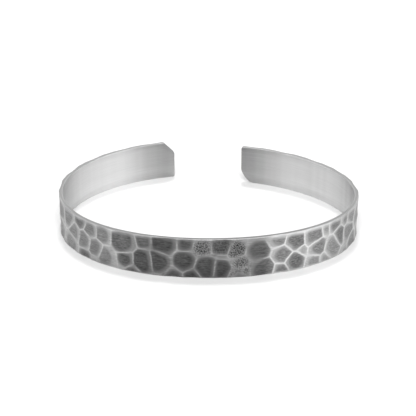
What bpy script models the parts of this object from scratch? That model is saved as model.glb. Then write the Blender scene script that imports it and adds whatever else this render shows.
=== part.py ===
"""Hammered cuff bracelet: one oval band of sheet silver, open at the back.

A flat blank is cut to its outline, hammered all over one face and bent round an oval. It
stands on its lower rim, its gap toward +Y, with the origin at the centre of the bounding
box's base. Metres, +Z up.
"""
import math
import random

import bmesh
import bpy
from mathutils import Vector
from mathutils.geometry import interpolate_bezier

MM = 0.001

BAND_WIDTH = 8.0 * MM            # rim to rim, upright
BAND_THICKNESS = 0.85 * MM        # at the ridges between the dents
OUTER_HALF_WIDTH = 29.67 * MM    # the oval that the outer face follows, middle to either side
FRONT_DEPTH = 22.2 * MM          # middle to the front
LEFT_BACK_DEPTH = 25.68 * MM      # where the left arm's curve would meet the middle plane
RIGHT_BACK_DEPTH = 23.09 * MM    # the same for the right arm
SIDE_SKEW = 0.85 * MM             # left arm is widest this far back, right arm this far forward
FRONT_FULLNESS = 0.582           # handle lengths, as shares of the half width and of the depth
LEFT_BACK_FULLNESS = 0.547
RIGHT_BACK_FULLNESS = 0.514
LEFT_ARM = 77.3 * MM             # front middle to tip, along the outer face
RIGHT_ARM = 75.2 * MM
LEFT_CLIP = 2.3 * MM             # one corner of each tip, cut at 45 degrees
RIGHT_CLIP = 2.0 * MM
CORNER_EASE = 0.3 * MM           # small rounding of the tips' corners
CLIP_EASE = 0.7 * MM             # softer rounding beside the right tip's clip
HAMMER_FACE_RADIUS = 11.0 * MM   # sphere that presses each dent
BEND_STEP = 1.5 * MM             # longest straight stretch of the plain face and rims
RIDGE_STEP = 2.4 * MM            # longest straight piece of a ridge
WELD = 0.02 * MM
CURVE_PIECES = 64                # straight pieces in each quarter of the oval
MEASURE_STEPS = 400              # steps in which a quarter's length is measured
NEIGHBOUR_REACH = 1.5            # marks further apart than this share no ridge, in band widths

# One row per hammer mark on the front half, all in band widths:
# along from the front's middle, up from the band's middle line, reach of the dent.
FRONT_MARKS = [
    (-4.46, -0.24, 0.29), (-4.42, 0.26, 0.29), (-3.78, -0.31, 0.25), (-3.89, 0.32, 0.27),
    (-3.63, 0.03, 0.26), (-3.36, 0.41, 0.23), (-3.24, -0.04, 0.27), (-3.20, -0.45, 0.21),
    (-3.02, 0.29, 0.25), (-2.87, -0.12, 0.27), (-2.91, -0.49, 0.15), (-2.62, 0.30, 0.25),
    (-2.55, -0.26, 0.27), (-2.04, 0.26, 0.34), (-1.96, -0.18, 0.24), (-1.81, -0.45, 0.19),
    (-1.51, 0.35, 0.23), (-1.53, -0.16, 0.33), (-1.05, 0.36, 0.33), (-1.20, -0.12, 0.32),
    (-0.80, -0.49, 0.22), (-0.55, -0.07, 0.28), (-0.53, 0.39, 0.22), (-0.36, -0.47, 0.23),
    (-0.14, 0.29, 0.24), (-0.04, -0.22, 0.31), (0.28, -0.26, 0.28), (0.31, 0.34, 0.27),
    (0.31, 0.06, 0.13), (0.65, 0.23, 0.23), (0.75, -0.13, 0.20), (0.54, -0.39, 0.13),
    (0.69, -0.49, 0.15), (0.85, -0.32, 0.14), (1.17, 0.16, 0.28), (1.28, -0.32, 0.29),
    (1.64, 0.40, 0.23), (1.77, -0.01, 0.26), (2.08, 0.28, 0.27), (2.08, -0.24, 0.25),
    (1.73, -0.44, 0.20), (2.25, -0.02, 0.12), (2.61, 0.30, 0.29), (2.74, -0.04, 0.27),
    (2.94, 0.36, 0.16), (2.63, -0.38, 0.21), (2.96, -0.39, 0.18), (3.27, 0.40, 0.21),
    (3.21, -0.16, 0.29), (3.47, 0.03, 0.26), (3.86, 0.00, 0.28), (3.73, 0.36, 0.19),
    (3.98, 0.32, 0.24), (4.09, -0.35, 0.26), (3.70, -0.48, 0.12), (4.47, 0.12, 0.30),
    (4.58, -0.29, 0.28),
]
# Round the two arms the marks follow a rule: columns of two and of three, turn about.
ARM_MARKS_FROM = 4.96            # in band widths from the front's middle
ARM_MARK_STEP = 0.46
ARM_MARK_DRIFT = 0.05            # how far each mark strays
ARM_MARK_REACH = (0.25, 0.32)
ARM_MARK_ROWS = ((-0.26, 0.27), (-0.43, 0.01, 0.42))
ARM_MARK_SEED = 11


def arm_marks():
    rng = random.Random(ARM_MARK_SEED)
    marks = []
    for side, arm in ((-1, LEFT_ARM), (1, RIGHT_ARM)):
        columns = math.ceil((arm / BAND_WIDTH - ARM_MARKS_FROM) / ARM_MARK_STEP) + 1
        for column in range(columns):
            along = ARM_MARKS_FROM + column * ARM_MARK_STEP
            for up in ARM_MARK_ROWS[column % 2]:
                marks.append((side * (along + rng.uniform(-1, 1) * ARM_MARK_DRIFT),
                              up + rng.uniform(-1, 1) * ARM_MARK_DRIFT,
                              rng.uniform(*ARM_MARK_REACH)))
    return marks


def hammer_marks():
    """Each mark's place on the flat blank and the reach of its dent, in metres."""
    return [(Vector((along, 0, up)) * BAND_WIDTH, reach * BAND_WIDTH)
            for along, up, reach in FRONT_MARKS + arm_marks()]


def everything(bm):
    return bm.verts[:] + bm.edges[:] + bm.faces[:]


def blank_outline():
    """The flat blank as one face, its front toward -Y: two corners clipped, all eased."""
    low, high = -BAND_WIDTH / 2, BAND_WIDTH / 2
    bm = bmesh.new()
    corners = [bm.verts.new((along, 0, up)) for along, up in (
        (-LEFT_ARM, low), (RIGHT_ARM - RIGHT_CLIP, low), (RIGHT_ARM, low + RIGHT_CLIP),
        (RIGHT_ARM, high), (-LEFT_ARM + LEFT_CLIP, high), (-LEFT_ARM, high - LEFT_CLIP))]
    bm.faces.new(corners)
    softer = corners[1:3]
    crisper = [corner for corner in corners if corner not in softer]
    for group, ease in ((softer, CLIP_EASE), (crisper, CORNER_EASE)):
        bmesh.ops.bevel(bm, geom=group, offset=ease, affect="VERTICES", segments=2, profile=0.5)
    return bm


def mark_cell(outline, mark, marks):
    """Where one mark's dent is the deepest: the blank, cut along each ridge with another."""
    place, reach = mark
    cell = outline.copy()
    for other_place, other_reach in marks:
        gap = other_place - place
        if 0 < gap.length < NEIGHBOUR_REACH * BAND_WIDTH and cell.faces:
            share = 0.5 + (reach ** 2 - other_reach ** 2) / (2 * gap.length_squared)
            bmesh.ops.bisect_plane(cell, geom=everything(cell), dist=1e-9, clear_outer=True,
                                   plane_co=place + gap * share, plane_no=gap)
    return cell


def hammered_face(marks):
    """All the cells side by side, each a fan of faces round its middle with one ring."""
    outline = blank_outline()
    face = bmesh.new()
    carrier = bpy.data.meshes.new("cell")
    for mark in marks:
        cell = mark_cell(outline, mark, marks)
        cell.to_mesh(carrier)
        face.from_mesh(carrier)
        cell.free()
    bpy.data.meshes.remove(carrier)
    outline.free()
    bmesh.ops.remove_doubles(face, verts=face.verts[:], dist=WELD)
    for ridge in [edge for edge in face.edges if edge.calc_length() > RIDGE_STEP]:
        bmesh.utils.edge_split(ridge, ridge.verts[0], 0.5)
    middles = bmesh.ops.poke(face, faces=face.faces[:])["verts"]
    spokes = {edge for middle in middles for edge in middle.link_edges}
    bmesh.ops.subdivide_edges(face, edges=list(spokes), cuts=1)
    return face


def dent_depth(point, marks):
    """How deep the deepest dent is at a point of the flat blank."""
    deepest = max(reach ** 2 - (point - place).length_squared for place, reach in marks)
    return max(0.0, deepest) / (2 * HAMMER_FACE_RADIUS)


def hammered_blank():
    """The flat band: hammered face at y = 0, plain face at y = BAND_THICKNESS."""
    marks = hammer_marks()
    bm = hammered_face(marks)
    hammered = set(bm.faces)
    walled = bmesh.ops.extrude_face_region(bm, geom=bm.faces[:])["geom"]
    back = [item for item in walled if isinstance(item, bmesh.types.BMFace)]
    moved = [item for item in walled if isinstance(item, bmesh.types.BMVert)]
    bmesh.ops.translate(bm, verts=moved, vec=(0, BAND_THICKNESS, 0))
    bmesh.ops.dissolve_faces(bm, faces=back, use_verts=True)
    stretches = math.ceil((LEFT_ARM + RIGHT_ARM) / BEND_STEP)
    for stretch in range(1, stretches):
        along = -LEFT_ARM + (LEFT_ARM + RIGHT_ARM) * stretch / stretches
        plain = [face for face in bm.faces if face not in hammered]
        edges = {edge for face in plain for edge in face.edges}
        verts = {vert for face in plain for vert in face.verts}
        bmesh.ops.bisect_plane(bm, geom=[*verts, *edges, *plain], dist=WELD,
                               plane_co=(along, 0, 0), plane_no=(1, 0, 0))
    bmesh.ops.triangulate(bm, faces=bm.faces[:])
    for vert in bm.verts:
        if vert.co.y < BAND_THICKNESS / 2:
            vert.co.y = dent_depth(vert.co, marks)
        if abs(vert.co.z) > BAND_WIDTH / 2 - WELD:
            vert.co.z = math.copysign(BAND_WIDTH / 2, vert.co.z)
    bmesh.ops.recalc_face_normals(bm, faces=bm.faces[:])
    return bm


def oval_guide():
    """The oval as an open curve, from the back round the left side, the front and the right."""
    width, skew = OUTER_HALF_WIDTH, SIDE_SKEW
    stops = [  # place, then the handles before and after it
        ((0, LEFT_BACK_DEPTH), (0, 0), (-width * LEFT_BACK_FULLNESS, 0)),
        ((-width, skew), (0, (LEFT_BACK_DEPTH - skew) * LEFT_BACK_FULLNESS),
         (0, -(FRONT_DEPTH + skew) * FRONT_FULLNESS)),
        ((0, -FRONT_DEPTH), (-width * FRONT_FULLNESS, 0), (width * FRONT_FULLNESS, 0)),
        ((width, -skew), (0, -(FRONT_DEPTH - skew) * FRONT_FULLNESS),
         (0, (RIGHT_BACK_DEPTH + skew) * RIGHT_BACK_FULLNESS)),
        ((0, RIGHT_BACK_DEPTH), (width * RIGHT_BACK_FULLNESS, 0), (0, 0)),
    ]
    curve = bpy.data.curves.new("oval", "CURVE")
    curve.resolution_u = CURVE_PIECES
    curve.use_deform_bounds = False
    spline = curve.splines.new("BEZIER")
    spline.bezier_points.add(len(stops) - 1)
    for point, (place, before, after) in zip(spline.bezier_points, stops):
        point.handle_left_type = point.handle_right_type = "FREE"
        point.co = Vector((*place, 0))
        point.handle_left = point.co + Vector((*before, 0))
        point.handle_right = point.co + Vector((*after, 0))
    guide = bpy.data.objects.new("oval", curve)
    guide.hide_render = True
    guide.display_type = "WIRE"
    return guide


def length_to_front(guide):
    """Length of the oval from its start at the back to the front's middle."""
    points = guide.data.splines[0].bezier_points
    length = 0.0
    for a, b in zip(points[:2], points[1:3]):
        steps = interpolate_bezier(a.co, a.handle_right, b.handle_left, b.co, MEASURE_STEPS)
        length += sum((q - p).length for p, q in zip(steps, steps[1:]))
    return length


def silver():
    material = bpy.data.materials.new("hammered_silver")
    material.use_nodes = True
    shader = material.node_tree.nodes["Principled BSDF"]
    shader.inputs["Base Color"].default_value = (0.62, 0.62, 0.61, 1.0)
    shader.inputs["Metallic"].default_value = 1.0
    shader.inputs["Roughness"].default_value = 0.32
    return material


def build():
    for stale in list(bpy.data.objects):
        bpy.data.objects.remove(stale, do_unlink=True)
    collection = bpy.data.collections.new("hammered_cuff_bracelet")
    bpy.context.scene.collection.children.link(collection)
    guide = oval_guide()
    blank = hammered_blank()
    bmesh.ops.translate(blank, verts=blank.verts[:], vec=(length_to_front(guide), 0, BAND_WIDTH / 2))
    mesh = bpy.data.meshes.new("cuff_band")
    blank.to_mesh(mesh)
    blank.free()
    mesh.materials.append(silver())
    band = bpy.data.objects.new("cuff_band", mesh)
    for item in (guide, band):
        collection.objects.link(item)
    bend = band.modifiers.new("bend round the oval", "CURVE")
    bend.object = guide
    bpy.context.view_layer.update()
    box = band.evaluated_get(bpy.context.evaluated_depsgraph_get()).bound_box
    middle = (Vector(box[0]) + Vector(box[6])) / 2
    guide.location = band.location = (-middle.x, -middle.y, 0)
    return band


band = build()
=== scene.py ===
"""Looks of the hammered cuff bracelet: oxidised dents, polished ridges, satin inner face.

The band is made again here at full fineness: a rounded section is drawn out into a flat
blank, its tips are cut, its face is hammered mark by mark, and it is bent round the oval.
"""
import math
import random

import bpy
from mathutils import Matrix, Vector
from mathutils.geometry import interpolate_bezier


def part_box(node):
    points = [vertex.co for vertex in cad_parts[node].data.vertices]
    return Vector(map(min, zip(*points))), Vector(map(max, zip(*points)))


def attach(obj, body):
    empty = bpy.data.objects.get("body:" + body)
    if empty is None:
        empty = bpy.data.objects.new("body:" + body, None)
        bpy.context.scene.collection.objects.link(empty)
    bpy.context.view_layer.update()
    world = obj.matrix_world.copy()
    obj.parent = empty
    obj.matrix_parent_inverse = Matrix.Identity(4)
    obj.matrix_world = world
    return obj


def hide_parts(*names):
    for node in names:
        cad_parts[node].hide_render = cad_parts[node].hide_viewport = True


MM = 0.001

# The oval that the ridges of the outer face follow, and the flat blank
OUTER_HALF_WIDTH = 29.67 * MM
FRONT_DEPTH = 22.2 * MM
LEFT_BACK_DEPTH = 25.68 * MM
RIGHT_BACK_DEPTH = 23.09 * MM
SIDE_SKEW = 0.85 * MM
FRONT_FULLNESS = 0.582
LEFT_BACK_FULLNESS = 0.547
RIGHT_BACK_FULLNESS = 0.514
BAND_THICKNESS = 0.85 * MM
LEFT_ARM = 77.3 * MM
RIGHT_ARM = 75.2 * MM
LEFT_CLIP = 2.3 * MM
RIGHT_CLIP = 2.0 * MM
CRISP_CORNER = 0.45 * MM         # how round the tips' corners are
SOFT_CORNER = 1.2 * MM           # the right tip's clipped one is rounder
EDGE_RADIUS = 0.1 * MM

# Fineness of the mesh
STATIONS = 1200                  # along the band
TIP_STATIONS = 8.0               # of these, how many crowd together at each tip
FACE_POINTS = 58                 # across the hammered face
INNER_POINTS = 4
RIM_POINTS = 2
ARC_POINTS = 3
CURVE_PIECES = 128
MEASURE_STEPS = 400

# The hammering
HAMMER_FACE = 11 * MM            # radius of every dent's floor
RIDGE_KEENNESS = 45 / MM         # sharpness of the ridges between dents
SHORE = 0.05 * MM                # how far past its reach a dent's shore lies
CORNER_SOFTNESS = 0.18 * MM      # roundness of a dent's outline where two ridges meet
WANDER = 0.5 * MM                # how unsteady the outlines are, and how closely they wander
WANDER_SCALE = 0.4 / MM
LAND_WEAR = 0.5                  # how far the oxide is worn through outside every dent
SAME_PLACE = 0.001 * MM          # marks closer than this are one mark
LEAST_COMPANY = 1e-9             # keeps a logarithm from being asked for 0

# Each hammer mark on the front half: along from the front's middle, up from the band's middle
# line and reach of the dent, all in band widths, then how far its oxide is worn through and
# how pitted its floor is
FRONT_MARKS = [
    (-4.46, -0.24, 0.29, 0.45, 0), (-4.42, 0.26, 0.29, 0.4, 0), (-3.78, -0.31, 0.25, 0.5, 0),
    (-3.89, 0.32, 0.27, 0.4, 0), (-3.63, 0.03, 0.26, 0.4, 0), (-3.36, 0.41, 0.23, 0.15, 0),
    (-3.24, -0.04, 0.27, 0.35, 0), (-3.20, -0.45, 0.21, 0.2, 0), (-3.02, 0.29, 0.25, 0.3, 0),
    (-2.87, -0.12, 0.27, 0.3, 0), (-2.91, -0.49, 0.15, 0.6, 0), (-2.62, 0.30, 0.25, 0.35, 0),
    (-2.55, -0.26, 0.27, 0.4, 0), (-2.04, 0.26, 0.34, 0.1, 0), (-1.96, -0.18, 0.24, 0, 0),
    (-1.81, -0.45, 0.19, 0.1, 0), (-1.51, 0.35, 0.23, 0.1, 0), (-1.53, -0.16, 0.33, 0, 0),
    (-1.05, 0.36, 0.33, 0, 0), (-1.20, -0.12, 0.32, 0, 0), (-0.80, -0.49, 0.22, 0.1, 0),
    (-0.55, -0.07, 0.28, 0, 0), (-0.53, 0.39, 0.22, 0.05, 0), (-0.36, -0.47, 0.23, 0, 0),
    (-0.14, 0.29, 0.24, 0.2, 1), (-0.04, -0.22, 0.31, 0, 0), (0.28, -0.26, 0.28, 0, 0),
    (0.31, 0.34, 0.27, 0.05, 0.3), (0.31, 0.06, 0.13, 0.3, 0), (0.65, 0.23, 0.23, 0.15, 1),
    (0.75, -0.13, 0.20, 0.25, 1), (0.54, -0.39, 0.13, 0.25, 1), (0.69, -0.49, 0.15, 0.3, 0),
    (0.85, -0.32, 0.14, 0.3, 1), (1.17, 0.16, 0.28, 0.16, 0), (1.28, -0.32, 0.29, 0.16, 0),
    (1.64, 0.40, 0.23, 0.3, 0), (1.77, -0.01, 0.26, 0.25, 0), (2.08, 0.28, 0.27, 0.1, 0),
    (2.08, -0.24, 0.25, 0.05, 0), (1.73, -0.44, 0.20, 0.2, 0), (2.25, -0.02, 0.12, 0.7, 0),
    (2.61, 0.30, 0.29, 0.3, 0), (2.74, -0.04, 0.27, 0.3, 0), (2.94, 0.36, 0.16, 0.5, 0),
    (2.63, -0.38, 0.21, 0.5, 0), (2.96, -0.39, 0.18, 0.6, 0), (3.27, 0.40, 0.21, 0.25, 0),
    (3.21, -0.16, 0.29, 0.5, 0), (3.47, 0.03, 0.26, 0.2, 0), (3.86, 0.00, 0.28, 0.4, 0),
    (3.73, 0.36, 0.19, 0.4, 0), (3.98, 0.32, 0.24, 0.5, 0), (4.09, -0.35, 0.26, 0.4, 0),
    (3.70, -0.48, 0.12, 0.6, 0), (4.47, 0.12, 0.30, 0.5, 0), (4.58, -0.29, 0.28, 0.6, 0),
]

# The marks on the back of both arms, in columns, in the same units
ARM_MARKS_FROM = 4.96
ARM_MARK_STEP = 0.46
ARM_MARK_ROWS = ((-0.26, 0.27), (-0.43, 0.01, 0.42))
ARM_MARK_DRIFT = 0.05
ARM_MARK_REACH = (0.25, 0.32)
ARM_MARK_WEAR = (0.3, 0.6)
ARM_MARK_SEED = 11

# Stretches of the band over which the looks change, in mm along it from the front's middle
MIDDLE = (-2, 2)
# Painted light, partly rubbed wear: the front's flanks are paler over these stretches
RUBBED_AND_LIT_LEFT = (9.8, 18.6)
RUBBED_AND_LIT_RIGHT = (10.2, 12.4)
RUBBED_AND_LIT_EASES = (20, 32)
FRONT_ENDS = (36, 42)
# Painted light: one side of each dent is paler from here on
PAINTED_LEAN_BEGINS = (2, 12)            # one side of each dent is paler than the other
# Painted light on the rims
RIM_PAINTED_LIGHT = (8, 37.3)
INNER_RIM_PAINTED_LIGHT = (32, 40)
# Painted highlights on the upper corners
OUTER_CORNER_HIGHLIGHT = (3, 12)
INNER_CORNER_HIGHLIGHT = (30, 38)
# The bends, where the inner face gets painted shade
BEND_BEGINS = (28, 38)
BEND_ENDS = (42, 54)
LEFT_SHADE_ENDS = (42, 64)
TIP_DARKENS = (63.2, 76.2)

# How pale each surface is before wear and noise, and how rough
OXIDE_LEVEL = 0.085
RIDGE_LEVEL = 0.28
SATIN_LEVEL = 0.575
RIM_LEVEL = 0.37
FACE_ROUGHNESS = 0.48
RIM_ROUGHNESS = 0.32

# The photograph's camera: a long lens at this height angle, this far from the oval's middle
FRAME_PIXELS = 416
FOCAL_PIXELS = 1463.8
CAMERA_DISTANCE = 291.94 * MM
CAMERA_ELEVATION = math.radians(25.5)
CAMERA_SIDESTEP = -0.045 * MM
CAMERA_LIFT = -0.039 * MM
CLIP_START = 10 * MM

# The studio: flat lamps by height angle and compass in degrees, distance, width and height in
# metres and power in watts, with compass 0 at the viewer's side and 90 at the right
LAMPS = (
    ("behind", 70.5, 180, 4, 0.61, 0.61, 56),
    ("front", 55, 0, 1.5, 0.7, 0.7, 14),
    ("left", 25, -80, 1.3, 0.8, 0.8, 2.4),
    ("right", 25, 75, 1.3, 0.8, 0.8, 3),
    ("backdrop", 25, 180, 1.5, 2.4, 0.8, 3),
)
SKY_STRENGTH = 0.3
FLOOR_REACH = 2.0
FLOOR_COLOUR = (0.9, 0.9, 0.9, 1)
FLOOR_ROUGHNESS = 0.9

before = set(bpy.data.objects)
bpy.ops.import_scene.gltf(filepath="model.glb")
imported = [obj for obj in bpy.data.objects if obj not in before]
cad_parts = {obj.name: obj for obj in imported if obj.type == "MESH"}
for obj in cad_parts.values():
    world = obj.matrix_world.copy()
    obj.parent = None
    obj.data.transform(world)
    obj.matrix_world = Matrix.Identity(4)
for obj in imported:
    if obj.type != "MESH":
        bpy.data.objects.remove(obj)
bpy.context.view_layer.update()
BAND_LOW, BAND_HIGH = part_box("cuff_band")
BAND_WIDTH = BAND_HIGH.z - BAND_LOW.z
OVAL_MIDDLE = Vector((0, BAND_LOW.y + FRONT_DEPTH, 0))


class Wire:
    """A node's output that takes Python's operators, each adding the maths node for it."""

    def __init__(self, net, socket):
        self.net = net
        self.socket = socket
        self.is_vector = socket.type in ("VECTOR", "RGBA")

    def maths(self, operation, *others):
        given = (self, *others)
        if any(isinstance(each, tuple) or getattr(each, "is_vector", False) for each in given):
            given = [each if isinstance(each, (Wire, tuple)) else (each,) * 3 for each in given]
            return self.net.add("ShaderNodeVectorMath", {"operation": operation},
                                dict(enumerate(given)),
                                "Value" if operation == "DISTANCE" else "Vector")
        return self.net.add("ShaderNodeMath", {"operation": operation}, dict(enumerate(given)))

    def __add__(self, other):
        return self.maths("ADD", other)

    def __sub__(self, other):
        return self.maths("SUBTRACT", other)

    def __mul__(self, other):
        return self.maths("MULTIPLY", other)

    def __truediv__(self, other):
        return self.maths("DIVIDE", other)

    def __pow__(self, other):
        return self.maths("POWER", other)

    def __lt__(self, other):
        return self.maths("LESS_THAN", other)

    def __rsub__(self, other):
        return self.net.add("ShaderNodeMath", {"operation": "SUBTRACT"}, {0: other, 1: self})

    __radd__ = __add__
    __rmul__ = __mul__

    def least(self, other):
        return self.maths("MINIMUM", other)

    def most(self, other):
        return self.maths("MAXIMUM", other)

    def stretched(self, along, through, up):
        """A place with each of its three lengths multiplied."""
        return self.maths("MULTIPLY", (along, through, up))

    def either(self, choice, other):
        """This where choice is 1, the other where it is 0."""
        return other + (self - other) * choice

    def step(self, low, high):
        """0 up to low, 1 from high, smooth between."""
        return self.net.add("ShaderNodeMapRange", {"interpolation_type": "SMOOTHSTEP"},
                            {"Value": self, "From Min": low, "From Max": high}, "Result")

    def fade(self, low, high):
        """1 up to low, 0 from high, smooth between."""
        return 1 - self.step(low, high)


class Net:
    """A node tree that grows one node at a time."""

    def __init__(self, tree):
        self.tree = tree
        self.tree.nodes.clear()

    def add(self, kind, settings=None, sockets=None, out=0):
        """A node of this kind, its settings first, then its sockets. Gives back one output."""
        node = self.tree.nodes.new(kind)
        for name, value in (settings or {}).items():
            setattr(node, name, value)
        for name, value in (sockets or {}).items():
            self.feed(node.inputs[name], value)
        return node if out is None else Wire(self, node.outputs[out])

    def feed(self, socket, value):
        if isinstance(value, Wire):
            self.tree.links.new(value.socket, socket)
        else:
            socket.default_value = value


class Rounds:
    """A repeat zone with one round for each mark, and named values kept from round to round."""

    def __init__(self, net, marks, first):
        self.net = net
        self.marks = marks
        self.start = net.add("GeometryNodeRepeatInput", out=None)
        self.end = net.add("GeometryNodeRepeatOutput", out=None)
        self.start.pair_with_output(self.end)
        self.end.repeat_items.clear()
        for name, value in first.items():
            self.end.repeat_items.new("VECTOR" if isinstance(value, tuple) else "FLOAT", name)
            net.feed(self.start.inputs[name], value)
        count = net.add("GeometryNodeAttributeDomainSize", {"component": "MESH"},
                        {"Geometry": marks}, "Point Count")
        net.feed(self.start.inputs["Iterations"], count)
        self.number = Wire(net, self.start.outputs["Iteration"])
        self.place = self.charted("FLOAT_VECTOR", net.add("GeometryNodeInputPosition"))

    def charted(self, kind, value):
        """What this round's mark has on the chart."""
        return self.net.add("GeometryNodeSampleIndex", {"data_type": kind},
                            {"Geometry": self.marks, "Value": value, "Index": self.number})

    def named(self, name):
        return self.charted("FLOAT", self.net.add("GeometryNodeInputNamedAttribute",
                                                  {"data_type": "FLOAT"}, {"Name": name}))

    def so_far(self, name):
        return Wire(self.net, self.start.outputs[name])

    def keep(self, name, value):
        self.net.feed(self.end.inputs[name], value)

    def result(self, name):
        return Wire(self.net, self.end.outputs[name])


def hammer_marks():
    """Charted marks on the front, then columns of two and of three, turn about, on the arms."""
    rng = random.Random(ARM_MARK_SEED)
    wear_rng = random.Random(ARM_MARK_SEED + 1)
    marks = list(FRONT_MARKS)
    for side, arm in ((-1, LEFT_ARM), (1, RIGHT_ARM)):
        columns = math.ceil((arm / BAND_WIDTH - ARM_MARKS_FROM) / ARM_MARK_STEP) + 1
        for column in range(columns):
            along = ARM_MARKS_FROM + column * ARM_MARK_STEP
            for up in ARM_MARK_ROWS[column % 2]:
                marks.append((side * (along + rng.uniform(-1, 1) * ARM_MARK_DRIFT),
                              up + rng.uniform(-1, 1) * ARM_MARK_DRIFT,
                              rng.uniform(*ARM_MARK_REACH),
                              wear_rng.uniform(*ARM_MARK_WEAR), 0))
    return marks


def marks_object():
    """The marks as loose points on the flat blank, each with its reach, wear and pitting."""
    marks = hammer_marks()
    mesh = bpy.data.meshes.new("hammer_marks")
    mesh.from_pydata([(mark[0] * BAND_WIDTH, 0, mark[1] * BAND_WIDTH) for mark in marks], [], [])
    for name, column, unit in (("reach", 2, BAND_WIDTH), ("worn", 3, 1), ("pitted", 4, 1)):
        values = mesh.attributes.new(name, "FLOAT", "POINT").data
        for value, mark in zip(values, marks):
            value.value = mark[column] * unit
    return bpy.data.objects.new("hammer_marks", mesh)


def section_points():
    """The band's section as (through, up) points: hammered face at 0, round its four edges."""
    low, high = -BAND_WIDTH / 2, BAND_WIDTH / 2
    near, far = EDGE_RADIUS, BAND_THICKNESS - EDGE_RADIUS
    bottom, top = low + EDGE_RADIUS, high - EDGE_RADIUS
    sides = [  # straight side from, to, points between; then the edge's centre and first angle
        ((0, bottom), (0, top), FACE_POINTS, (near, top), 180),
        ((near, high), (far, high), RIM_POINTS, (far, top), 90),
        ((BAND_THICKNESS, top), (BAND_THICKNESS, bottom), INNER_POINTS, (far, bottom), 0),
        ((far, low), (near, low), RIM_POINTS, (near, bottom), -90),
    ]
    points = []
    for start, stop, between, centre, angle in sides:
        for step in range(between + 1):
            share = step / (between + 1)
            points.append(tuple(a + (b - a) * share for a, b in zip(start, stop)))
        for step in range(ARC_POINTS):
            turn = math.radians(angle - 90 * step / ARC_POINTS)
            points.append((centre[0] + math.cos(turn) * EDGE_RADIUS,
                           centre[1] + math.sin(turn) * EDGE_RADIUS))
    return points


def section_object():
    points = section_points()
    curve = bpy.data.curves.new("section", "CURVE")
    curve.dimensions = "3D"
    spline = curve.splines.new("POLY")
    spline.points.add(len(points) - 1)
    for point, (through, up) in zip(spline.points, points):
        point.co = (through, up, 0, 1)
    spline.use_cyclic_u = True
    return bpy.data.objects.new("section", curve)


def oval_object():
    """The oval as an open curve, from the back round the left side, the front and the right."""
    width, skew = OUTER_HALF_WIDTH, SIDE_SKEW
    stops = [  # place, then the handles before and after it
        ((0, LEFT_BACK_DEPTH), (0, 0), (-width * LEFT_BACK_FULLNESS, 0)),
        ((-width, skew), (0, (LEFT_BACK_DEPTH - skew) * LEFT_BACK_FULLNESS),
         (0, -(FRONT_DEPTH + skew) * FRONT_FULLNESS)),
        ((0, -FRONT_DEPTH), (-width * FRONT_FULLNESS, 0), (width * FRONT_FULLNESS, 0)),
        ((width, -skew), (0, -(FRONT_DEPTH - skew) * FRONT_FULLNESS),
         (0, (RIGHT_BACK_DEPTH + skew) * RIGHT_BACK_FULLNESS)),
        ((0, RIGHT_BACK_DEPTH), (width * RIGHT_BACK_FULLNESS, 0), (0, 0)),
    ]
    curve = bpy.data.curves.new("oval", "CURVE")
    curve.resolution_u = CURVE_PIECES
    spline = curve.splines.new("BEZIER")
    spline.bezier_points.add(len(stops) - 1)
    for point, (place, before, after) in zip(spline.bezier_points, stops):
        point.handle_left_type = point.handle_right_type = "FREE"
        point.co = Vector((*place, 0)) + OVAL_MIDDLE
        point.handle_left = point.co + Vector((*before, 0))
        point.handle_right = point.co + Vector((*after, 0))
    return bpy.data.objects.new("oval", curve)


def length_to_front(oval):
    points = oval.data.splines[0].bezier_points
    length = 0.0
    for a, b in zip(points[:2], points[1:3]):
        steps = interpolate_bezier(a.co, a.handle_right, b.handle_left, b.co, MEASURE_STEPS)
        length += sum((q - p).length for p, q in zip(steps, steps[1:]))
    return length


def rounding(depth_in, radius):
    """How far a rounded corner falls short of its edge, this far in from the end."""
    lacking = (radius - depth_in).most(0)
    return radius - (radius * radius - lacking * lacking).most(0) ** 0.5


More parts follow.
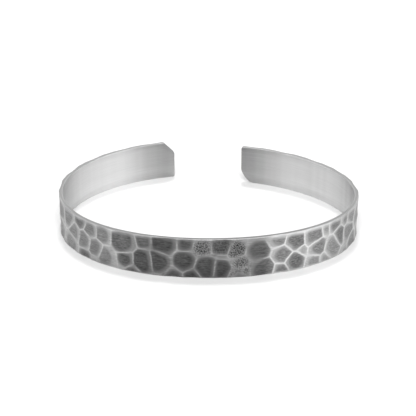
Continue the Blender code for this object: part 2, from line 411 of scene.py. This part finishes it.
def band_tree():
    """Geometry Nodes: section to blank, tips cut, face hammered, blank bent round the oval."""
    tree = bpy.data.node_groups.new("hammered band", "GeometryNodeTree")
    net = Net(tree)
    inputs = [("Geometry", "NodeSocketGeometry"), ("Section", "NodeSocketObject"),
              ("Marks", "NodeSocketObject"), ("Material", "NodeSocketMaterial"),
              ("Stations", "NodeSocketInt")]
    inputs += [(name, "NodeSocketFloat") for name in (
        "Left arm", "Right arm", "Width", "Thickness", "Left clip", "Right clip", "Crisp corner",
        "Soft corner", "Edge radius", "Front at", "Hammer face", "Ridge keenness", "Shore",
        "Land wear", "Corner softness", "Wander", "Wander scale", "Tip stations")]
    for name, kind in inputs:
        tree.interface.new_socket(name, in_out="INPUT", socket_type=kind)
    tree.interface.new_socket("Geometry", in_out="OUTPUT", socket_type="NodeSocketGeometry")
    group = net.add("NodeGroupInput", out=None)
    given = {socket.name: Wire(net, socket) for socket in group.outputs if socket.name}
    width, thickness = given["Width"], given["Thickness"]
    crisp, soft, edge = given["Crisp corner"], given["Soft corner"], given["Edge radius"]
    left, right = given["Left arm"], given["Right arm"]

    # The tube of faces, and each vertex's station along it and place in the section
    section = net.add("GeometryNodeObjectInfo", None, {"Object": given["Section"]}, "Geometry")
    line = net.add("GeometryNodeCurvePrimitiveLine", None, {"End": (1, 0, 0)})
    line = net.add("GeometryNodeResampleCurve", {"mode": "COUNT"},
                   {"Curve": line, "Count": given["Stations"]})
    tube = net.add("GeometryNodeCurveToMesh", None,
                   {"Curve": line, "Profile Curve": section, "Fill Caps": True})
    round_count = net.add("GeometryNodeAttributeDomainSize", {"component": "CURVE"},
                          {"Geometry": section}, "Point Count")
    index = net.add("GeometryNodeInputIndex")
    station = ((index + 0.5) / round_count).maths("FLOOR")
    in_section = net.add("GeometryNodeSampleIndex", {"data_type": "FLOAT_VECTOR"},
                         {"Geometry": section, "Value": net.add("GeometryNodeInputPosition"),
                          "Index": index - station * round_count})
    split = net.add("ShaderNodeSeparateXYZ", None, {0: in_section}, None)
    through, up_share = Wire(net, split.outputs[0]), Wire(net, split.outputs[1]) / width + 0.5

    # Stations crowd together toward the tips
    last = given["Stations"] - 1
    crowd = given["Tip stations"]
    spacing = (left + right) / (last - crowd)
    from_tip = station.least(last - station)
    crowded = from_tip * from_tip / (crowd * 2)
    in_from_tip = crowded.either(from_tip < crowd, from_tip - crowd / 2) * spacing
    on_left = station < last / 2
    along = (in_from_tip - left).either(on_left, right - in_from_tip)

    # One corner of each tip is clipped, the other square, both eased
    half = width / 2
    square = half - rounding(in_from_tip, crisp)

    def clipped(clip, corner):
        slope = half.maths("SMOOTH_MIN", half - clip + in_from_tip, corner)
        return slope - rounding(in_from_tip, corner)

    high = clipped(given["Left clip"], crisp).either(on_left, square)
    low = 0 - square.either(on_left, clipped(given["Right clip"], soft))
    tip_edge = rounding(in_from_tip, edge) * 2
    middle = (high + low) / 2
    tall = high - low - tip_edge
    up = middle + (up_share - 0.5) * tall
    through = thickness / 2 + (through - thickness / 2) * (1 - tip_edge / thickness)

    # Every mark's dent joins the others, with a softened ridge between; the deepest is kept
    place = net.add("ShaderNodeCombineXYZ", None, {0: along, 2: up})
    wander = net.add("ShaderNodeTexNoise", None,
                     {"Vector": place, "Scale": given["Wander scale"], "Detail": 2.0}, "Color")
    wandered = place + (wander - (0.5, 0.5, 0.5)) * given["Wander"]
    marks = net.add("GeometryNodeObjectInfo", None, {"Object": given["Marks"]}, "Geometry")
    keenness, softness = given["Ridge keenness"], given["Corner softness"]

    def dent_of(rounds):
        """This round's mark: its reach, how far away its centre is, how deep its dent is."""
        reach = rounds.named("reach")
        away = wandered.maths("DISTANCE", rounds.place)
        return reach, away, (reach * reach - away * away) / (given["Hammer face"] * 2)

    dents = Rounds(net, marks, {"relief": 1.0, "worn": given["Land wear"], "pitted": 0.0,
                                "deepest": -1.0, "centre": (0.0, 0.0, 0.0), "to shore": 0.0})
    reach, away, dent = dent_of(dents)
    weight = (dent * keenness).maths("EXPONENT")
    dents.keep("relief", dents.so_far("relief") + weight)
    for name in ("worn", "pitted"):
        dents.keep(name, dents.so_far(name) + weight * dents.named(name))
    deeper = dents.so_far("deepest") < dent
    for name, value in (("deepest", dent), ("centre", dents.place), ("to shore", reach - away)):
        dents.keep(name, value.either(deeper, dents.so_far(name)))
    relief, deepest = dents.result("relief"), dents.result("deepest")
    depth = relief.maths("LOGARITHM", math.e) / keenness
    worn, pitted = dents.result("worn") / relief, dents.result("pitted") / relief

    # How far it is to the nearest ridge between the deepest dent and another, or to its shore.
    # The deepest one's ridge with itself is put 1 m away.
    to_shore = dents.result("to shore") + given["Shore"]
    ridges = Rounds(net, marks, {"nearest": 1.0,
                                 "company": (0 - to_shore / softness).maths("EXPONENT")})
    dent = dent_of(ridges)[2]
    apart = ridges.place.maths("DISTANCE", dents.result("centre"))
    off = (deepest - dent) * given["Hammer face"] / apart.most(SAME_PLACE) + (apart < SAME_PLACE)
    ridges.keep("nearest", ridges.so_far("nearest").least(off))
    ridges.keep("company", ridges.so_far("company") + (0 - off / softness).maths("EXPONENT"))
    off_ridge, company = ridges.result("nearest"), ridges.result("company")
    off_shoulder = 0 - company.most(LEAST_COMPANY).maths("LOGARITHM", math.e) * softness

    # How far to one side of its dent's centre, along the band
    aside = net.add("ShaderNodeSeparateXYZ", None, {0: wandered - dents.result("centre")})

    # The blank bent round the oval, dents pressed in toward the inner face
    on_oval = net.add("GeometryNodeSampleCurve", {"mode": "LENGTH"},
                      {"Curves": given["Geometry"], "Length": given["Front at"] + along}, None)
    outward = net.add("ShaderNodeVectorMath", {"operation": "CROSS_PRODUCT"},
                      {0: Wire(net, on_oval.outputs["Tangent"]), 1: (0, 0, 1)})
    inset = through + depth * (1 - through / thickness)
    lift = net.add("ShaderNodeCombineXYZ", None, {2: up + half})
    inward = net.add("ShaderNodeVectorMath", {"operation": "SCALE"},
                     {0: outward, "Scale": 0 - inset})
    bent = Wire(net, on_oval.outputs["Position"]) + inward + lift

    # What the material reads is stored on the mesh
    blank = net.add("ShaderNodeCombineXYZ", None, {0: along, 1: through, 2: up})
    shape = tube
    for name, value in (("blank", blank), ("off_ridge", off_ridge), ("off_shoulder", off_shoulder),
                        ("worn", worn), ("pitted", pitted), ("aside", aside)):
        kind = "FLOAT_VECTOR" if value.is_vector else "FLOAT"
        shape = net.add("GeometryNodeStoreNamedAttribute", {"data_type": kind, "domain": "POINT"},
                        {"Geometry": shape, "Name": name, "Value": value})
    shape = net.add("GeometryNodeSetPosition", None, {"Geometry": shape, "Position": bent})
    shape = net.add("GeometryNodeRealizeInstances", None, {"Geometry": shape})
    shape = net.add("GeometryNodeSetMaterial", None,
                    {"Geometry": shape, "Material": given["Material"]})
    net.add("NodeGroupOutput", None, {"Geometry": shape}, None)
    return tree


def hammered_band(material):
    """The whole band as a plain mesh."""
    oval, section, marks = oval_object(), section_object(), marks_object()
    for helper in (oval, section, marks):
        bpy.context.collection.objects.link(helper)
    modifier = oval.modifiers.new("hammered band", "NODES")
    modifier.node_group = band_tree()
    sizes = {
        "Section": section, "Marks": marks, "Material": material, "Stations": STATIONS,
        "Left arm": LEFT_ARM, "Right arm": RIGHT_ARM, "Width": BAND_WIDTH,
        "Thickness": BAND_THICKNESS, "Left clip": LEFT_CLIP, "Right clip": RIGHT_CLIP,
        "Crisp corner": CRISP_CORNER, "Soft corner": SOFT_CORNER, "Edge radius": EDGE_RADIUS,
        "Front at": length_to_front(oval), "Hammer face": HAMMER_FACE,
        "Ridge keenness": RIDGE_KEENNESS, "Shore": SHORE, "Land wear": LAND_WEAR,
        "Corner softness": CORNER_SOFTNESS, "Wander": WANDER, "Wander scale": WANDER_SCALE,
        "Tip stations": TIP_STATIONS,
    }
    for item in modifier.node_group.interface.items_tree:
        if item.name in sizes:
            modifier[item.identifier] = sizes[item.name]
    bpy.context.view_layer.update()
    made = oval.evaluated_get(bpy.context.evaluated_depsgraph_get())
    mesh = bpy.data.meshes.new_from_object(made)
    mesh.name = "hammered_band"
    for helper in (oval, section, marks):
        bpy.data.objects.remove(helper, do_unlink=True)
    for face in mesh.polygons:
        face.use_smooth = len(face.vertices) == 4
    band = bpy.data.objects.new("hammered_band", mesh)
    bpy.context.collection.objects.link(band)
    return band


def aged_silver():
    """Oxidised dark in the dents, rubbed bright on the ridges, satin on the inner face."""
    material = bpy.data.materials.new("aged_silver")
    material.use_nodes = True
    net = Net(material.node_tree)
    # The colour also carries painted light and shade on the flanks, rims, corners and inner face
    half_width, thickness = BAND_WIDTH / MM / 2, BAND_THICKNESS / MM

    def read(name, out="Fac"):
        return net.add("ShaderNodeAttribute", {"attribute_name": name}, None, out)

    def in_mm(name, out="Fac"):
        return read(name, out) * (1 / MM)

    def noise(place, scale, detail, roughness=0.5):
        """Uneven values round 0."""
        return net.add("ShaderNodeTexNoise", None, {"Vector": place, "Scale": scale,
                                                    "Detail": detail, "Roughness": roughness}) - 0.5

    # Where the point lies on the flat blank, and how the hammer marked it there
    blank = in_mm("blank", "Vector")
    split = net.add("ShaderNodeSeparateXYZ", None, {0: blank}, None)
    along, through, up = (Wire(net, output) for output in split.outputs)
    from_middle, from_top, from_foot = along.maths("ABSOLUTE"), half_width - up, half_width + up
    off_ridge, off_shoulder, aside = in_mm("off_ridge"), in_mm("off_shoulder"), in_mm("aside")
    worn, pitted = read("worn"), read("pitted")

    # Lengthwise scratches, pits, broad patches, short scuffs, then the inner face's brushing
    streaks = noise(blank.stretched(0.35, 1, 8), 1.0, 3.0, 0.6)
    pits = noise(blank, 3.6, 1.0, 0.4).step(-0.15, 0.15) - 0.5
    patches = noise(blank, 0.45, 2.0)
    scuffs = noise(blank.stretched(0.8, 1, 2.2), 1.6, 3.0, 0.65)
    brush = noise(blank.stretched(0.12, 1, 6), 1.0, 4.0, 0.6)
    bands = noise(blank.stretched(1, 0, 0), 0.5, 1.0)

    # Stretches of the band: its front half, its paler flanks (partly rubbed wear, partly painted
    # light), and inside the bends and tips
    on_left = along.fade(*MIDDLE)
    front_half = from_middle.fade(*FRONT_ENDS)
    # Paler flanks: partly rubbed wear, partly painted light
    rubbed_and_lit_left = (0 - along).step(*RUBBED_AND_LIT_LEFT) * 0.4
    rubbed_and_lit_right = along.step(*RUBBED_AND_LIT_RIGHT) * (1 - along.step(*RUBBED_AND_LIT_EASES) * 0.45)
    rubbed_and_lit = (rubbed_and_lit_left + rubbed_and_lit_right) * front_half
    side = from_middle.step(*BEND_BEGINS)
    bend = side * from_middle.fade(*BEND_ENDS)
    left_side = side * from_middle.fade(*LEFT_SHADE_ENDS)
    tip = from_middle.step(*TIP_DARKENS)

    # A pale shoulder beside each ridge, ragged; painted light makes it broader on the side facing
    # the front's middle
    painted_lean = (1 - along.step(-1, 1) * 2) * from_middle.step(*PAINTED_LEAN_BEGINS) * front_half
    ragged = patches * 1.3 + streaks * 0.9 + scuffs * (0.5 + rubbed_and_lit * 2.0)
    ragged = ragged - aside * painted_lean * 0.27
    shoulder = (off_shoulder + ragged).fade(-0.1, 0.85 - rubbed_and_lit * 0.1)
    oxide = OXIDE_LEVEL + rubbed_and_lit * 0.09 + worn * 0.3 + patches * 0.08 + pits * pitted * 0.17
    oxide = oxide + streaks * (0.2 + worn * 0.45) + scuffs * (0.13 + rubbed_and_lit * 0.43)
    oxide = oxide + shoulder * (0.1 + rubbed_and_lit * 0.13)

    # A thin bright line on each ridge, and the face's rubbed upper and lower edges
    line = (off_ridge + patches * 0.3 + scuffs * 0.25).fade(0, 0.27 + rubbed_and_lit * 0.05)
    top_edge = (from_top + scuffs * 0.4).fade(0.05, 0.9 + rubbed_and_lit * 0.2) * (0.45 + rubbed_and_lit * 0.45)
    low_edge = from_foot.fade(0.02, 0.3 + rubbed_and_lit * 0.2) * (0.4 + rubbed_and_lit * 0.4)
    ridge = RIDGE_LEVEL + rubbed_and_lit * 0.44 + patches * 0.6 + streaks * 0.5
    face = ridge.either(line.most(top_edge.most(low_edge)), oxide)

    # The inner face: painted light makes it paler on the left and toward its foot, painted shade
    # darker at the bends, and it is darker toward the tips
    inner = SATIN_LEVEL + brush * 0.14 + bands * (0.08 + bend * 0.08) + from_foot.fade(0, 4) * 0.08
    inner = inner - tip * (0.3 + on_left * 0.05) - bend * 0.13 + on_left * (0.125 - left_side * 0.2)

    # The rims: painted light makes them paler toward the bends, most of all on their inner side,
    # and a painted highlight lies along the outer arris
    painted_arris_highlight = through.fade(0.08, 0.35) * (0.02 + rubbed_and_lit * 0.26)
    rim = RIM_LEVEL + from_middle.step(*RIM_PAINTED_LIGHT) * 0.11 + brush * 0.1 + painted_arris_highlight
    rim = rim + through.step(0.4, 0.9) * from_middle.step(*INNER_RIM_PAINTED_LIGHT) * 0.1

    # The upper corners: the outer one has painted shade behind and a painted highlight in front,
    # the inner one a painted highlight from the bends on
    on_face = through.fade(0.02, 0.09)
    on_inner = through.step(thickness - 0.1, thickness - 0.03)
    off_corner = from_top.most(through).step(0.02, 0.2)
    level = inner.either(on_inner, face.either(on_face, rim))
    level = level * (0.65 + off_corner * 0.35).most(front_half)
    inner_corner = (from_top + (thickness - through)).fade(0.08, 0.35)
    outer_corner = (from_top + through).fade(0.08, 0.3) * front_half
    level = level + inner_corner * from_middle.step(*INNER_CORNER_HIGHLIGHT) * 0.14
    outer_corner_highlight = 0.04 + from_middle.step(*OUTER_CORNER_HIGHLIGHT) * 0.1 - rubbed_and_lit * 0.04
    level = level + outer_corner * outer_corner_highlight

    # Sockets 6 and 7 are the mix's two colours, and output 2 is its colour
    colour = net.add("ShaderNodeMix", {"data_type": "RGBA"},
                     {0: level, 6: (0, 0, 0, 1), 7: (1, 1, 1, 1)}, 2)
    roughness = (FACE_ROUGHNESS - line * 0.14).either(on_face, RIM_ROUGHNESS + on_inner * 0.04)
    bump = net.add("ShaderNodeBump", None, {"Strength": 0.25, "Distance": 0.02 * MM,
                                            "Height": streaks.either(on_face, brush)}, "Normal")
    shader = net.add("ShaderNodeBsdfPrincipled", None,
                     {"Base Color": colour, "Metallic": 1.0, "Roughness": roughness,
                      "Normal": bump}, "BSDF")
    net.add("ShaderNodeOutputMaterial", None, {"Surface": shader}, None)
    return material


def floor():
    corners = ((-1, -1), (1, -1), (1, 1), (-1, 1))
    mesh = bpy.data.meshes.new("floor")
    mesh.from_pydata([(x * FLOOR_REACH, y * FLOOR_REACH, 0) for x, y in corners],
                     [], [(0, 1, 2, 3)])
    material = bpy.data.materials.new("white_board")
    material.use_nodes = True
    shader = material.node_tree.nodes["Principled BSDF"]
    shader.inputs["Base Color"].default_value = FLOOR_COLOUR
    shader.inputs["Roughness"].default_value = FLOOR_ROUGHNESS
    mesh.materials.append(material)
    plane = bpy.data.objects.new("floor", mesh)
    bpy.context.collection.objects.link(plane)


def soft_box(name, height_angle, compass, distance, width, height, power):
    """A flat lamp turned to face the band."""
    height_angle, compass = math.radians(height_angle), math.radians(compass)
    away = Vector((math.cos(height_angle) * math.sin(compass),
                   -math.cos(height_angle) * math.cos(compass), math.sin(height_angle)))
    data = bpy.data.lights.new(name, "AREA")
    data.shape = "RECTANGLE"
    data.size, data.size_y, data.energy = width, height, power
    lamp = bpy.data.objects.new(name, data)
    lamp.location = away * distance
    lamp.rotation_euler = away.to_track_quat("Z", "Y").to_euler()
    bpy.context.collection.objects.link(lamp)


def studio():
    world = bpy.data.worlds.new("studio")
    bpy.context.scene.world = world
    world.use_nodes = True
    background = world.node_tree.nodes["Background"]
    background.inputs["Color"].default_value = (1, 1, 1, 1)
    background.inputs["Strength"].default_value = SKY_STRENGTH
    for lamp in LAMPS:
        soft_box(*lamp)
    bpy.context.scene.view_settings.view_transform = "Standard"


def camera():
    tilt = CAMERA_ELEVATION
    ahead = Vector((0, math.cos(tilt), -math.sin(tilt)))
    upward = Vector((0, math.sin(tilt), math.cos(tilt)))
    middle = OVAL_MIDDLE + Vector((0, 0, BAND_WIDTH / 2))
    data = bpy.data.cameras.new("camera")
    data.lens = FOCAL_PIXELS / FRAME_PIXELS * data.sensor_width
    data.clip_start = CLIP_START
    eye = bpy.data.objects.new("camera", data)
    eye.location = (middle - ahead * CAMERA_DISTANCE + upward * CAMERA_LIFT
                    + Vector((CAMERA_SIDESTEP, 0, 0)))
    eye.rotation_euler = ahead.to_track_quat("-Z", "Y").to_euler()
    bpy.context.collection.objects.link(eye)
    bpy.context.scene.camera = eye


def main():
    camera()
    floor()
    studio()
    band = hammered_band(aged_silver())
    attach(band, "root")
    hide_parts("cuff_band")


main()
